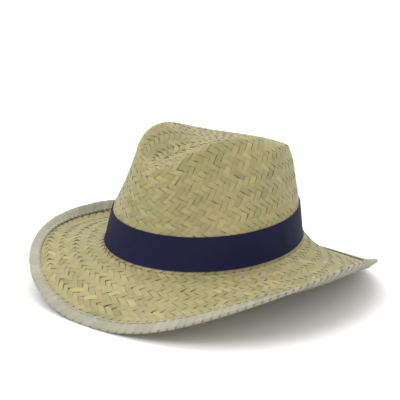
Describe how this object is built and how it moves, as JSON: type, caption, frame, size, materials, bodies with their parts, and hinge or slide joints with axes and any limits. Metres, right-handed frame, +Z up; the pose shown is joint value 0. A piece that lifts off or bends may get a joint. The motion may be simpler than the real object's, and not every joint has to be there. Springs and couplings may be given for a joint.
{
  "type": "fedora hat",
  "caption": "Woven straw fedora: pinched teardrop crown, wide curled brim with a bound edge, lift-off ribbon band and a sweatband inside.",
  "frame": {"origin": "centre of the bounding box at its base: the surface the brim's front and back stand on", "axes": "+Z up, -Y towards the front of the hat, +X towards the wearer's left"},
  "size_m": [0.2912, 0.3538, 0.1509],
  "materials": {
    "straw": "matt woven straw",
    "leaf": "matt dried leaf",
    "reed": "bare cane",
    "ribbon": "ribbed woven ribbon",
    "ribbon_thread": "sewing thread",
    "sweatband_cloth": "cotton tape",
    "seam_thread": "sewing thread",
    "label_cloth": "woven label, blank"
  },
  "bodies": {
    "hat": {"straw_hood": "straw", "brim_binding": "leaf", "edge_reed": "reed", "binding_thread_top": "seam_thread", "binding_thread_under": "seam_thread", "sweatband": "sweatband_cloth", "sweatband_joint_tape": "sweatband_cloth", "sweatband_thread": "seam_thread", "size_label": "label_cloth"},
    "band": {"hat_band": "ribbon", "band_lap_thread": "ribbon_thread"}
  },
  "joints": [
    {"name": "band_lift", "type": "slide", "parent": "hat", "child": "band", "axis": [0, -0.0924, 0.9957], "range_m": [0, 0.11]}
  ]
}
